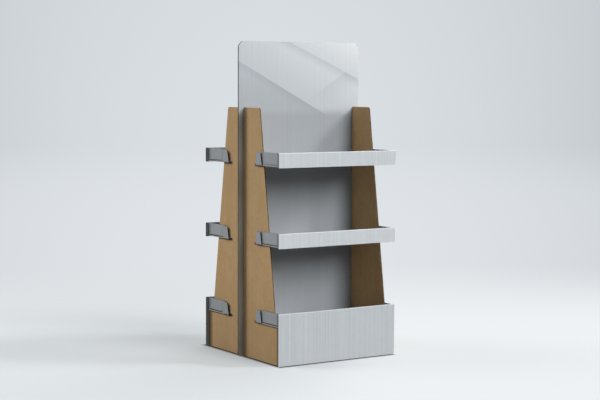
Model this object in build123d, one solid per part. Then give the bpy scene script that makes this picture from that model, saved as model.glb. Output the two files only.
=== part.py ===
from build123d import *
import os

# Floor-standing cardboard display stand, in millimetres. X runs across the front, the front faces -Y,
# and Z is up from the floor at the middle of the footprint.
# Two slotted kraft cheeks cross a full-height centre panel. Three trays on the front and three on the
# back slide into slots in the cheeks, and each tray is one folded sheet.

# Boards
cheek_board = 4.5
panel_board = 7.0
tray_board = 4.0
fold_inside = 1.0

# Widths and depth
cheek_spacing = 572.0
lip_overhang = 14.0
panel_overhang = 27.0
stand_depth = 623.0

# Heights: the trays' floors, and how far a tray's lip stands above and below the underside of its floor
base_height = 162.5
tier_pitch = 338.0
lip_rise = 59.5
lip_drop = 3.5
cheek_rise = 185.0
header_rise = 285.0
tier_names = ("base", "middle", "top")

# Centre panel
header_radius = 30.0
panel_foot_radius = 3.0
joint_height = 540.0

# Cheek outline: how far its tapered edge stands back from the face of the lips
shoulder_setback = 44.0
top_setback = 177.5
cheek_top_radius = 12.0

# Tray lip and rear flange
lip_gap = 1.0
flange_drop = 20.0
low_corner_radius = 2.0

# Return flaps, one on each end of the lip's inner layer
flap_top_drop = 1.0
flap_foot_rise = 7.5
flap_tuck = 18.5
flap_radius = 5.0

# Locking tabs, folded up from the sides of the floor outside the cheeks
tab_setback = 4.8
tab_length = 49.5
tab_rise = 56.0
tab_lean = 2.0
tab_rear_slant = 9.0
tab_front_slant = 8.0
tab_radius = 4.0
slot_overrun = 20.5

# Clearances
side_play = 0.5
slot_play = 2.0
rear_play = 0.3
wrap_play = 0.4
tab_play = 0.3
apron_play = 0.3
joint_play = 0.6

# Values that follow from the ones above
half_depth = stand_depth / 2
cheek_outer = cheek_spacing / 2
cheek_inner = cheek_outer - cheek_board
lip_half = cheek_outer + lip_overhang
panel_half = cheek_outer + panel_overhang
undersides = [base_height + tier_pitch * tier for tier in range(len(tier_names))]
cheek_top = undersides[-1] + lip_rise + cheek_rise
panel_top = cheek_top + header_rise
fold_centre = fold_inside + tray_board / 2
outer_layer = half_depth - tray_board / 2
inner_layer = outer_layer - tray_board - lip_gap
floor_half = cheek_inner - side_play
flap_centre = cheek_outer + wrap_play + tray_board / 2
ear_half = flap_centre + tray_board / 2
tab_foot = ear_half + tab_play + tray_board / 2
rear_face = panel_board / 2 + rear_play


def cheek_edge(height):
    """Distance of the cheek's tapered edge from the middle of the stand at one height."""
    shoulder = half_depth - shoulder_setback
    top = half_depth - top_setback
    share = (height - base_height) / (cheek_top - base_height)
    return shoulder + (top - shoulder) * share


# The trays share one pattern, set by the top tier, where the cheek is narrowest.
tab_outer = cheek_edge(undersides[-1]) - tab_setback
tab_inner = tab_outer - tab_length
slot_end = tab_inner - slot_overrun


def box_between(x_range, y_range, z_range):
    """Block between pairs of limits along X, Y and Z."""
    centre = [(low + high) / 2 for low, high in (x_range, y_range, z_range)]
    size = [high - low for low, high in (x_range, y_range, z_range)]
    return Pos(*centre) * Box(*size)


def both_ends(shape):
    """The shape together with its mirror image in the stand's middle plane, left and right."""
    return shape + mirror(shape, Plane.YZ)


def centre_panel():
    """Full-height board with rounded header corners, slotted from below to cross the cheeks."""
    face = Rectangle(2 * panel_half, panel_top, align=(Align.CENTER, Align.MIN))
    corners = face.vertices().group_by(Axis.Y)
    face = fillet(corners[-1], header_radius)
    corners = face.vertices().group_by(Axis.Y)
    face = fillet(corners[0], panel_foot_radius)
    board = extrude(Plane.XZ * face, panel_board / 2, both=True)
    slot = box_between(
        (cheek_inner - side_play, cheek_outer + side_play),
        (-panel_board, panel_board),
        (-panel_board, joint_height + joint_play),
    )
    return board - both_ends(slot)


def cheek_outline():
    """Half of the cheek's side view, from the middle plane out: full depth below the base tray, tapered above."""
    foot = half_depth - tray_board - apron_play
    outline = Polyline(
        (0, 0),
        (foot, 0),
        (foot, base_height),
        (cheek_edge(base_height), base_height),
        (cheek_edge(cheek_top), cheek_top),
        (0, cheek_top),
        close=True,
    )
    face = make_face(outline)
    top_corner = face.vertices().group_by(Axis.Y)[-1].sort_by(Axis.X)[-1]
    return fillet(top_corner, cheek_top_radius)


def cheek():
    """Right-hand kraft cheek, with one slot for the centre panel and an open slot for each tray."""
    half = extrude(Plane.YZ.offset(cheek_inner) * cheek_outline(), cheek_board)
    slot_height = tray_board + slot_play
    for underside in undersides:
        half -= box_between(
            (cheek_inner - cheek_board, cheek_outer + cheek_board),
            (slot_end + slot_height / 2, stand_depth),
            (underside, underside + slot_height),
        )
        half -= Pos(cheek_outer, slot_end + slot_height / 2, underside + slot_height / 2) * Cylinder(
            slot_height / 2, 4 * cheek_board, rotation=(0, 90, 0)
        )
    board = half + mirror(half, Plane.XZ)
    return board - box_between(
        (cheek_inner - cheek_board, cheek_outer + cheek_board),
        (-panel_board / 2 - side_play, panel_board / 2 + side_play),
        (joint_height, cheek_top + cheek_board),
    )


def folded(line, half_width):
    """Sheet that follows a line in the side view and spans the middle plane evenly."""
    return extrude(Plane.YZ * trace(line, tray_board), half_width, both=True)


def lip_fold(top):
    """Centreline of the round fold along the top of the lip, and the height where it starts."""
    radius = (outer_layer - inner_layer) / 2
    start = top - radius - tray_board / 2
    return radius, start


def tray_sheet(underside, apron_foot):
    """Floor, rear flange and double-layer lip of a tray, without its ends."""
    level = underside + tray_board / 2
    radius, start = lip_fold(underside + lip_rise)
    middle = (outer_layer + inner_layer) / 2
    rear = rear_face + tray_board / 2
    crown = (middle, start + radius)
    floor = FilletPolyline(
        (rear, level - flange_drop),
        (rear, level),
        (inner_layer - 2 * fold_centre, level),
        radius=fold_centre,
    )
    wall = FilletPolyline(
        (inner_layer - 2 * fold_centre, level),
        (inner_layer, level),
        (inner_layer, start),
        radius=fold_centre,
    )
    over = ThreePointArc((inner_layer, start), crown, (outer_layer, start))
    front_bend = RadiusArc(crown, (outer_layer, start), radius)
    front = Line((outer_layer, start), (outer_layer, apron_foot))
    sheet = folded(floor, floor_half)
    sheet += folded(wall + over, flap_centre - fold_centre)
    sheet += folded(front_bend + front, lip_half)
    return sheet


def tray_ear(underside):
    """Strip of the floor that passes through the cheek's slot and shows outside it as a ledge."""
    front = inner_layer - fold_centre
    return box_between(
        (floor_half - tray_board, ear_half),
        (tab_inner, front),
        (underside, underside + tray_board),
    )


def return_flap(underside):
    """Flap at the end of the lip's inner layer, turned back along the outside of the cheek."""
    end = tab_outer - flap_tuck
    line = FilletPolyline(
        (floor_half, inner_layer),
        (flap_centre, inner_layer),
        (flap_centre, end),
        radius=fold_centre,
    )
    low = underside + flap_foot_rise
    high = underside + lip_rise - flap_top_drop
    flap = extrude(Plane.XY.offset(low) * trace(line, tray_board), high - low)
    rear_edges = flap.edges().filter_by(Axis.X).group_by(Axis.Y)[0]
    return fillet(rear_edges, flap_radius)


def locking_tab(underside):
    """Tab on the side of the floor, folded up through the slot over the end of the return flap."""
    level = underside + tray_board / 2
    top = underside + tab_rise
    line = FilletPolyline(
        (floor_half, level),
        (tab_foot, level),
        (tab_foot + tab_lean, top),
        radius=fold_centre,
    )
    strip = extrude(Plane.XZ.offset(-tab_outer) * trace(line, tray_board), tab_length)
    window = make_face(
        Polyline(
            (tab_inner, underside - tray_board),
            (tab_outer, underside - tray_board),
            (tab_outer, underside + tray_board),
            (tab_outer - tab_front_slant, top),
            (tab_inner + tab_rear_slant, top),
            (tab_inner, underside + tray_board),
            close=True,
        )
    )
    window = fillet(window.vertices().group_by(Axis.Y)[-1], tab_radius)
    return strip & extrude(Plane.YZ.offset(floor_half) * window, lip_half - floor_half)


def tray(underside, apron_foot):
    """Back tray: one sheet folded into a floor, a flange, a double lip, two return flaps and two tabs."""
    end = tray_ear(underside) + return_flap(underside) + locking_tab(underside)
    sheet = tray_sheet(underside, apron_foot) + both_ends(end)
    low_corners = sheet.edges().filter_by(Axis.Y).group_by(Axis.Z)[0]
    return fillet(low_corners, low_corner_radius)


nodes = {"centre_panel": centre_panel()}
right_cheek = cheek()
nodes["cheek_right"] = right_cheek
nodes["cheek_left"] = mirror(right_cheek, Plane.YZ)
for tier, underside in zip(tier_names, undersides):
    apron_foot = 0 if underside == base_height else underside - lip_drop
    back_tray = tray(underside, apron_foot)
    nodes["tray_back_" + tier] = back_tray
    nodes["tray_front_" + tier] = mirror(back_tray, Plane.XZ)

os.makedirs("parts", exist_ok=True)
for name, shape in nodes.items():
    export_step(shape, "parts/" + name + ".step")
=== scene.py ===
from math import cos, pi, radians, sin

import bpy
from mathutils import Euler, Matrix, Vector


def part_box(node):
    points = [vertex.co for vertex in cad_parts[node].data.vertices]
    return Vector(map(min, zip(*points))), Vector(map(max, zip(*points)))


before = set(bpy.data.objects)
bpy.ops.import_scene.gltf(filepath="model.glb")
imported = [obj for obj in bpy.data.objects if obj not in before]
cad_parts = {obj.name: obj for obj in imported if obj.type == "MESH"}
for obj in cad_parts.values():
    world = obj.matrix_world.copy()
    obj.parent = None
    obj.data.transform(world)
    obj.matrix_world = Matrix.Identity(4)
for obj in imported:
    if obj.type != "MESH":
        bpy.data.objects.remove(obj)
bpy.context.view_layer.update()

# Places read from the frame
tiers = ("base", "middle", "top")
cheek_low, cheek_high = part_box("cheek_right")
panel_low, panel_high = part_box("centre_panel")
lip_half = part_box("tray_back_top")[1].x
half_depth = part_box("tray_back_top")[1].y
lip_tops = {tier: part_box("tray_back_" + tier)[1].z for tier in tiers}

# Sizes that the frame doesn't give, in metres, with heights taken from the lower edge of a tray's lip
tray_board = 0.004
lip_height = 0.063
lip_depth = 0.009
floor_rise = 0.0035
flap_foot = 0.011
flap_top = 0.062
flap_inner = 0.2864
flap_outer = flap_inner + tray_board
slot_inner = 0.2815
slot_margin = 0.0065
slot_end = 0.0947
tab_front = 0.1647
tab_slant = 0.154
rear_face = 0.0038
flute_pitch = 0.0078
skin = 0.0003

# Where the narrow painted shadows start and end, as distances from the middle planes
apron_shadow = (0.268, 0.284)
lip_shadow = (0.276, 0.291)
floor_side_shadow = (0.235, 0.275)

# A face looks along an axis where its direction's share on that axis is above this
square_on = 0.8

# How strongly the lines and the mottle of the print show, and the depths of the surfaces' relief
panel_print = 1.0
tray_print = 2.0
kraft_relief = 0.00012
print_relief = 0.00010

# Where the picture was taken from, how far the view turns from +Y towards +X, and how it drops and rolls
standpoint = (-3.6068, -5.6335, 1.1952)
view_turn = radians(32.664)
view_drop = radians(4.483)
view_roll = radians(0.217)


def srgb(red, green, blue):
    """Linear colour of a tone that is given as it looks on a screen."""
    shares = [value / 255 for value in (red, green, blue)]
    linear = [share / 12.92 if share <= 0.04045 else ((share + 0.055) / 1.055) ** 2.4 for share in shares]
    return linear + [1.0]


class Signal:
    """A socket's output, with arithmetic that adds Math nodes to its material."""

    def __init__(self, finish, socket):
        self.finish = finish
        self.socket = socket

    def math(self, operation, *others):
        return self.finish.signal("ShaderNodeMath", {"operation": operation}, [self, *others])

    def __add__(self, other):
        return self.math("ADD", other)

    __radd__ = __add__

    def __sub__(self, other):
        return self.math("SUBTRACT", other)

    def __rsub__(self, other):
        return self.finish.signal("ShaderNodeMath", {"operation": "SUBTRACT"}, [other, self])

    def __mul__(self, other):
        return self.math("MULTIPLY", other)

    __rmul__ = __mul__

    def __truediv__(self, other):
        return self.math("DIVIDE", other)

    def __gt__(self, other):
        return self.math("GREATER_THAN", other)

    def __lt__(self, other):
        return self.math("LESS_THAN", other)

    def __abs__(self):
        return self.math("ABSOLUTE")

    def at_least(self, other):
        return self.math("MAXIMUM", other)

    def at_most(self, other):
        return self.math("MINIMUM", other)

    def between(self, low, high):
        """1 where the signal lies between two values, else 0."""
        return (self > low) * (self < high)

    def wave(self, pitch):
        """Sine of the signal, with one period per pitch."""
        return (self * (2 * pi / pitch)).math("SINE")

    def switch(self, mask, other):
        """The signal where the mask is 0, and the other one where it is 1."""
        return self + (other - self) * mask

    def ramp(self, low, high):
        """0 below low, 1 above high and a smooth slope between them."""
        settings = {"interpolation_type": "SMOOTHSTEP"}
        inputs = {"Value": self, "From Min": low, "From Max": high}
        return self.finish.signal("ShaderNodeMapRange", settings, inputs, "Result")


class Finish:
    """A material under construction."""

    def __init__(self, name):
        self.material = bpy.data.materials.new(name)
        self.material.use_nodes = True
        self.tree = self.material.node_tree
        self.tree.nodes.clear()

    def node(self, kind, settings=None, inputs=None):
        """Add a node, with its settings first and then the values or links of its sockets."""
        made = self.tree.nodes.new(kind)
        for key, value in (settings or {}).items():
            setattr(made, key, value)
        pairs = enumerate(inputs) if isinstance(inputs, list) else (inputs or {}).items()
        for key, value in pairs:
            if isinstance(value, Signal):
                self.tree.links.new(value.socket, made.inputs[key])
            elif made.inputs[key].type == "VECTOR":
                made.inputs[key].default_value = value[:3]
            else:
                made.inputs[key].default_value = value
        return made

    def signal(self, kind, settings=None, inputs=None, output=0):
        return Signal(self, self.node(kind, settings, inputs).outputs[output])

    def place(self):
        """The point's place as three signals."""
        point = self.signal("ShaderNodeTexCoord", None, None, "Object")
        split = self.node("ShaderNodeSeparateXYZ", None, [point])
        return [Signal(self, split.outputs[axis]) for axis in "XYZ"]

    def facing(self):
        """The surface's direction as three signals without a sign."""
        normal = self.signal("ShaderNodeTexCoord", None, None, "Normal")
        split = self.node("ShaderNodeSeparateXYZ", None, [normal])
        return [abs(Signal(self, split.outputs[axis])) for axis in "XYZ"]

    def noise(self, scales, detail=3.0, roughness=0.55):
        """Noise from 0 to 1 with its own number of blotches per metre along X, Y and Z."""
        point = self.signal("ShaderNodeTexCoord", None, None, "Object")
        stretched = self.signal("ShaderNodeVectorMath", {"operation": "MULTIPLY"}, [point, scales])
        inputs = {"Vector": stretched, "Scale": 1.0, "Detail": detail, "Roughness": roughness}
        return self.signal("ShaderNodeTexNoise", None, inputs, "Fac")

    def mix(self, share, first, second):
        """Colour that goes from the first to the second as the share goes from 0 to 1."""
        made = self.node("ShaderNodeMix", {"data_type": "RGBA"}, {"Factor": share})
        for name, value in (("A", first), ("B", second)):
            socket = [s for s in made.inputs if s.name == name and s.type == "RGBA"][0]
            if isinstance(value, Signal):
                self.tree.links.new(value.socket, socket)
            else:
                socket.default_value = value
        return Signal(self, [s for s in made.outputs if s.type == "RGBA"][0])

    def shade(self, colour, amount):
        """Colour made darker or lighter by a signal around 1."""
        scale = self.signal("ShaderNodeCombineXYZ", None, [amount, amount, amount])
        return self.signal("ShaderNodeVectorMath", {"operation": "MULTIPLY"}, [colour, scale])

    def close(self, colour, roughness, height, depth):
        """Surface with a colour, a roughness and a relief of a depth in metres."""
        relief = {"Height": height, "Distance": depth, "Strength": 1.0}
        bump = self.signal("ShaderNodeBump", None, relief, "Normal")
        inputs = {"Base Color": colour, "Roughness": roughness, "Normal": bump, "Specular IOR Level": 0.25}
        surface = self.signal("ShaderNodeBsdfPrincipled", None, inputs, "BSDF")
        self.node("ShaderNodeOutputMaterial", None, {"Surface": surface})
        return self.material


def cut_edge(finish, across, along, end_on, paper, hollow, walls=1):
    """Colour of a cut edge, with across from 0 to 1 through the board.

    A cut across the flutes shows the rippled middle between the liners, and a cut along them a torn strip.
    """
    layer = (across * walls).math("FRACT")
    from_middle = abs(layer - 0.5)
    liner = from_middle.ramp(0.36, 0.43)
    ripple = abs(layer - 0.5 - along.wave(flute_pitch) * 0.36)
    rippled = (1 - ripple.ramp(0.07, 0.17)).at_least(liner)
    torn = finish.noise((420.0, 420.0, 420.0), 3.0, 0.6).ramp(0.4, 0.62).at_least(liner)
    solid = rippled * end_on + torn * (1 - end_on)
    return finish.mix(solid, hollow, paper)


def kraft_finish():
    """Plain brown corrugated board of the cheeks, with upright flutes and narrow shadows painted round the
    ledges and beside the aprons.
    """
    finish = Finish("kraft_board")
    x, y, z = finish.place()
    face_x, _, face_z = finish.facing()
    cloudy = finish.noise((4.0, 9.0, 3.0), 3.0)
    blotch = finish.noise((16.0, 24.0, 13.0), 3.0, 0.6)
    pulp = finish.noise((70.0, 80.0, 52.0), 4.0, 0.7)
    speck = finish.noise((700.0, 700.0, 420.0), 2.0)
    streak = finish.noise((10.0, 60.0, 1.4), 2.0)
    colour = finish.mix(cloudy.ramp(0.3, 0.7), srgb(190, 160, 116), srgb(200, 165, 121))
    colour = finish.mix(blotch.ramp(0.38, 0.68) * 0.6, colour, srgb(191, 153, 107))
    colour = finish.mix(pulp.ramp(0.4, 0.72) * 0.3, colour, srgb(169, 135, 92))
    colour = finish.mix(speck.ramp(0.62, 0.75) * 0.4, colour, srgb(120, 92, 62))
    washboard = y.wave(flute_pitch) * 0.5 + 0.5
    # Darker towards the bottom, with painted shade by the floor in the lowest 7 cm
    foot_darkening = (1 - z.ramp(0.04, 0.42)) * 0.16 + (1 - z.ramp(0.0, 0.07)) * 0.08
    colour = finish.shade(colour, washboard * 0.03 + streak * 0.07 + 0.95 - foot_darkening)
    # Painted shadow round each tray's ledge: from just below the lip's lower edge up to the flap's foot, from
    # the slot's end outwards
    for tier in tiers:
        up = z - (lip_tops[tier] - lip_height)
        ledge_painted_shadow = up.ramp(-0.003, 0.001) * (up < flap_foot) * (abs(y) > slot_end)
        colour = finish.mix(ledge_painted_shadow * 0.85, colour, srgb(42, 32, 24))
    # Painted shadow low on the cheeks beside the front and back aprons
    apron_painted_shadow = abs(y).ramp(*apron_shadow) * (z < lip_tops["base"] - lip_height)
    colour = finish.shade(colour, 1 - apron_painted_shadow * 0.5)
    across = (abs(x) - cheek_low.x) / (cheek_high.x - cheek_low.x)
    edge = cut_edge(finish, across, y, face_z.ramp(0.6, 0.8), srgb(118, 95, 67), srgb(32, 22, 15))
    # Cut edges blotched light and dark like a frayed cut, and darker overall, partly as painted shade
    frayed_and_shaded = finish.noise((60.0, 60.0, 60.0), 3.0, 0.7)
    edge = finish.shade(edge, frayed_and_shaded.ramp(0.35, 0.65) + 0.2)
    is_edge = 1 - face_x.ramp(0.4, 0.6)
    colour = finish.mix(is_edge, colour, edge)
    height = washboard * (1 - is_edge) + pulp * 0.35
    return finish.close(colour, 0.8 + pulp * 0.12, height, kraft_relief)


def grey_print(finish, base_tone, across, strength):
    """Matt grey ink over corrugated board: flute lines, streaks and a little mottle, in a chosen strength."""
    mottle = finish.noise((38.0, 38.0, 38.0), 4.0, 0.65)
    grain = finish.noise((520.0, 520.0, 520.0), 2.0)
    streak = finish.noise((72.0, 9.0, 0.9), 3.0)
    fine = finish.noise((190.0, 12.0, 1.4), 1.0)
    washboard = across.wave(flute_pitch) * 0.5 + 0.5
    mean_level = 0.135
    level = washboard * 0.03 + streak * 0.1 + fine * 0.06 + mottle * 0.05 + grain * 0.03 - mean_level
    colour = finish.shade(base_tone, level * strength + 1)
    return colour, washboard + mottle * 0.3 + grain * 0.1, mottle


def header_design(finish, x, z):
    """Generic print of overlapping diagonal fields across the header."""
    rise = z - cheek_high.z
    header = panel_high.z - cheek_high.z
    first = rise + x * 0.52 - header * 0.13
    second = rise + x * 0.44 - header * 0.92
    third = rise - x * 0.62 - header * 0.02
    low_field = finish.mix(rise.ramp(0.0, header), srgb(143, 148, 152), srgb(157, 162, 166))
    mid_field = finish.mix(first.ramp(0.0, header * 0.9), srgb(162, 166, 170), srgb(176, 180, 184))
    high_field = finish.mix(second.ramp(-0.02, header * 0.7), srgb(174, 178, 181), srgb(194, 197, 199))
    colour = finish.mix(first > 0.0, low_field, mid_field)
    colour = finish.mix(second > 0.0, colour, high_field)
    fold = third.ramp(-0.12, 0.0) * (third < 0.0) * (first > 0.0) * (second < 0.0)
    colour = finish.mix(fold * 0.55, colour, srgb(158, 163, 167))
    for line in (first, second):
        shadow = (1 - (0 - line).ramp(0.0, 0.05)) * (line < 0.0)
        colour = finish.mix(shadow * 0.32, colour, srgb(126, 131, 136))
    return colour


def panel_finish():
    """Centre panel: grey print that pales into the header design, and a double-wall brown core at the cuts."""
    finish = Finish("grey_panel")
    x, y, z = finish.place()
    _, face_y, face_z = finish.facing()
    in_header = (z - cheek_high.z).ramp(-0.05, 0.004)
    margin = abs(x) > cheek_high.x
    # The margin beside the cheeks is painted paler and warmer than the print below it, as light bounced off
    # the kraft, and darker towards the cheeks' top, as their shade
    margin_painted_light_and_shade = finish.mix(z.ramp(0.85, 1.05), srgb(154, 151, 143), srgb(124, 123, 118))
    lower = finish.mix(margin, srgb(135, 139, 143), margin_painted_light_and_shade)
    tone = finish.mix(in_header, lower, header_design(finish, x, z))
    colour, height, mottle = grey_print(finish, tone, x, panel_print)
    across = y / (panel_high.y - panel_low.y) + 0.5
    edge = cut_edge(finish, across, x, face_z.ramp(0.6, 0.8), srgb(92, 78, 64), srgb(32, 25, 20), walls=2)
    edge = finish.shade(edge, 1 - z.ramp(0.5, 1.1) * 0.5)
    is_edge = 1 - face_y.ramp(0.4, 0.6)
    colour = finish.mix(is_edge, colour, edge)
    return finish.close(colour, 0.55 + mottle * 0.15, height * (1 - is_edge), print_relief)


def tray_finish(tier):
    """Tray sheet: grey print on both sides, creases painted paler as a highlight, dark core at the cuts and
    narrow painted shadows.
    """
    finish = Finish("grey_tray_" + tier)
    x, y, z = finish.place()
    face_x, face_y, face_z = finish.facing()
    aside, out = abs(x), abs(y)
    up = z - (lip_tops[tier] - lip_height)
    # The base tray's copy of the sheet is painted darker than the others, as shade low on the stand
    tone = srgb(165, 169, 172) if tier != "base" else srgb(155, 159, 162)
    sideways = face_x > square_on
    colour, height, mottle = grey_print(finish, tone, x.switch(sideways, y), tray_print)
    flat = face_x.at_least(face_y).at_least(face_z)
    # Folds and rounded edges painted paler, as a highlight
    colour = finish.shade(colour, 1.12 - flat.ramp(0.72, 0.97) * 0.12)
    at_lip = out > half_depth - tray_board - skin
    lip_end = sideways * (aside > lip_half - skin)
    floor_side = sideways * (aside < flap_outer + skin / 2) * (up < floor_rise + tray_board + skin)
    behind_lip = half_depth - lip_depth
    upright_cut = (face_y > square_on) * out.between(rear_face + tray_board + skin, behind_lip - skin)
    at_flap = up.between(flap_foot - skin, flap_top + skin) * (out < behind_lip)
    level_cut = (face_z > square_on) * at_flap.at_least(up < -skin).at_least(at_lip * (up < skin))
    is_edge = lip_end.at_least(floor_side).at_least(upright_cut).at_least(level_cut)
    through = ((up - floor_rise) / tray_board).switch(1 - floor_side, (aside - flap_inner) / tray_board)
    through = through.switch(at_lip, (half_depth - out) / tray_board)
    end_on = 1 - sideways
    # Cuts that don't face sideways are dark, partly from their open flutes and partly as painted shade;
    # sideways cuts are pale
    paper = finish.mix(end_on, srgb(206, 202, 194), srgb(74, 68, 62))
    hollow = finish.mix(end_on, srgb(138, 131, 120), srgb(26, 23, 21))
    edge = cut_edge(finish, through, x + y + z, end_on, paper, hollow)
    # The lips' end cuts are painted near black, partly their dark core and partly painted shade beside the
    # lips
    edge = finish.mix(lip_end, edge, srgb(22, 20, 19))
    colour = finish.mix(is_edge, colour, edge)
    over_floor = up - floor_rise - tray_board
    floor_top = (face_z > square_on) * (abs(over_floor) < skin)
    # Painted shade where the floor runs into the cheeks' slots and along the floor's sides
    in_slot = (floor_top * (aside > slot_inner - slot_margin)).at_least(sideways * (aside < slot_inner))
    slot_painted_shade = (in_slot * 0.85).at_least(floor_top * aside.ramp(*floor_side_shadow) * 0.6)
    colour = finish.mix(slot_painted_shade, colour, srgb(32, 30, 29))
    # Painted shadows on the return flap: beside the tab, along its foot and beside the lip
    flap_side = sideways * aside.between(flap_outer - skin, flap_outer + skin) * (up > flap_foot - skin)
    past_tab = out - tab_front + over_floor.at_least(0.0) * tab_slant
    tab_painted_shadow = (past_tab > 0.0) * (0.7 - past_tab.ramp(0.0, 0.007) * 0.5 - past_tab.ramp(0.0, 0.035) * 0.2)
    flap_foot_painted_shadow = 0.55 - up.ramp(flap_foot, flap_foot + 0.005) * 0.55
    lip_painted_shadow = out.ramp(*lip_shadow) * 0.45
    colour = finish.shade(colour, 1 - flap_side * tab_painted_shadow.at_least(flap_foot_painted_shadow).at_least(lip_painted_shadow))
    return finish.close(colour, 0.55 + mottle * 0.15, height * (1 - is_edge), print_relief)


def dress(node, material):
    """Give a CAD node one material."""
    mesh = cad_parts[node].data
    mesh.materials.clear()
    mesh.materials.append(material)


def make_camera():
    """Camera that stands where the picture was taken."""
    data = bpy.data.cameras.new("camera")
    data.sensor_width = 36.0
    data.lens = 90.65
    camera = bpy.data.objects.new("camera", data)
    bpy.context.scene.collection.objects.link(camera)
    aim = Euler((pi / 2 - view_drop, 0, -view_turn)).to_matrix() @ Matrix.Rotation(view_roll, 3, "Z")
    camera.matrix_world = Matrix.Translation(standpoint) @ aim.to_4x4()
    bpy.context.scene.camera = camera


def soft_light(name, azimuth, elevation, spread, strength):
    """Distant soft light from a compass direction, in degrees, with a strength in watts a square metre."""
    data = bpy.data.lights.new(name, "SUN")
    data.angle = radians(spread)
    data.energy = strength
    light = bpy.data.objects.new(name, data)
    bpy.context.scene.collection.objects.link(light)
    turn, rise = radians(azimuth), radians(elevation)
    back = Vector((sin(turn) * cos(rise), -cos(turn) * cos(rise), sin(rise)))
    light.rotation_euler = (-back).to_track_quat("-Z", "Y").to_euler()


def stage_place(x, y):
    """Distance ahead of the standpoint, and the way off to its right as a share of that distance."""
    forward = Vector((sin(view_turn), cos(view_turn)))
    start = Vector(standpoint[:2])
    ahead = x * forward.x + y * forward.y - start.dot(forward)
    to_right = x * forward.y - y * forward.x - (start.x * forward.y - start.y * forward.x)
    return ahead, to_right / ahead.at_least(1.0)


def side_falloff(ahead, bearing):
    """Share by which the far stage darkens to both sides."""
    off_middle = bearing + 0.02
    depth = ahead.ramp(7.6, 10.0) * 0.5 + ahead.ramp(14.0, 30.0) * 0.5
    return (off_middle * off_middle * 20).at_most(1.0) * depth


def make_stage():
    """Pale floor that fades without an edge into a round backdrop."""
    floor_reach, dome_reach = 30.0, 29.0
    bpy.ops.object.select_all(action="DESELECT")
    bpy.ops.mesh.primitive_circle_add(vertices=96, radius=floor_reach, fill_type="NGON", location=(0, 0, 0))
    floor = bpy.context.object
    floor.name = "floor"
    floor.visible_diffuse = False
    finish = Finish("floor")
    x, y, _ = finish.place()
    ahead, bearing = stage_place(x, y)
    distance = (x * x + y * y).math("SQRT")
    # Near the stand the floor's glow and colour are painted darker on the left and paler on the right, as the
    # key light's shade and light
    near = finish.mix(bearing.ramp(-0.1, 0.06), srgb(222, 226, 228), srgb(238, 241, 243))
    tone = finish.mix(ahead.ramp(7.2, 10.2), near, srgb(225, 229, 233))
    tone = finish.mix(distance.ramp(2.3, 23.3), tone, srgb(218, 223, 227))
    tone = finish.mix(side_falloff(ahead, bearing), tone, srgb(199, 204, 208))
    albedo = finish.mix(bearing.ramp(-0.12, 0.08), srgb(168, 172, 174), srgb(178, 182, 184))
    # Painted contact shadow round the foot, narrower on the right, where the key light comes from
    right_trim = (x > 0.0) * 0.014
    outside = (abs(x) - cheek_high.x + right_trim).at_least(abs(y) - half_depth)
    contact = 1 - outside.ramp(0.004, 0.034)
    contact_tone = srgb(34, 34, 35)
    tone = finish.mix(contact, tone, contact_tone)
    albedo = finish.mix(contact, albedo, contact_tone)
    diffuse = finish.signal("ShaderNodeBsdfDiffuse", None, {"Color": albedo})
    glow = finish.signal("ShaderNodeEmission", None, {"Color": tone, "Strength": 1.0})
    # Near the stand part of the floor glows, more on the right, as painted light that lifts its shadows
    near_share = bearing.ramp(0.0, 0.06) * 0.5 + 0.28
    share = near_share + (1 - near_share) * distance.ramp(1.2, 3.2).at_least(ahead.ramp(7.0, 8.2))
    surface = finish.signal("ShaderNodeMixShader", None, [share, diffuse, glow])
    finish.node("ShaderNodeOutputMaterial", None, {"Surface": surface})
    floor.data.materials.append(finish.material)
    bpy.ops.mesh.primitive_uv_sphere_add(segments=64, ring_count=32, radius=dome_reach, location=(0, 0, 0))
    dome = bpy.context.object
    dome.name = "backdrop"
    bpy.ops.object.shade_smooth()
    finish = Finish("backdrop")
    x, y, z = finish.place()
    ahead, bearing = stage_place(x, y)
    tone = finish.mix(z.ramp(0.0, 6.0), srgb(218, 223, 227), srgb(213, 218, 222))
    tone = finish.mix(side_falloff(ahead, bearing), tone, srgb(199, 204, 208))
    glow = finish.signal("ShaderNodeEmission", None, {"Color": tone, "Strength": 1.0})
    finish.node("ShaderNodeOutputMaterial", None, {"Surface": glow})
    dome.data.materials.append(finish.material)
    dome.visible_diffuse = False
    dome.visible_glossy = False
    dome.visible_transmission = False
    dome.visible_shadow = False


def make_light():
    """Soft studio light: a key from the right, a wide front light, and rims from behind on both sides."""
    world = bpy.data.worlds.new("sky")
    world.use_nodes = True
    background = world.node_tree.nodes["Background"]
    background.inputs["Color"].default_value = srgb(250, 253, 255)
    background.inputs["Strength"].default_value = 0.25
    bpy.context.scene.world = world
    soft_light("key", 57.0, 35.0, 15.0, 2.3)
    soft_light("front", 15.0, 27.0, 30.0, 3.15)
    soft_light("right_rim", 130.0, 40.0, 60.0, 1.85)
    soft_light("left_rim", -135.0, 42.0, 28.0, 2.24)
    bpy.context.scene.view_settings.view_transform = "Standard"


make_camera()
make_stage()
make_light()
kraft = kraft_finish()
dress("cheek_left", kraft)
dress("cheek_right", kraft)
dress("centre_panel", panel_finish())
for tier in tiers:
    sheet = tray_finish(tier)
    dress("tray_front_" + tier, sheet)
    dress("tray_back_" + tier, sheet)
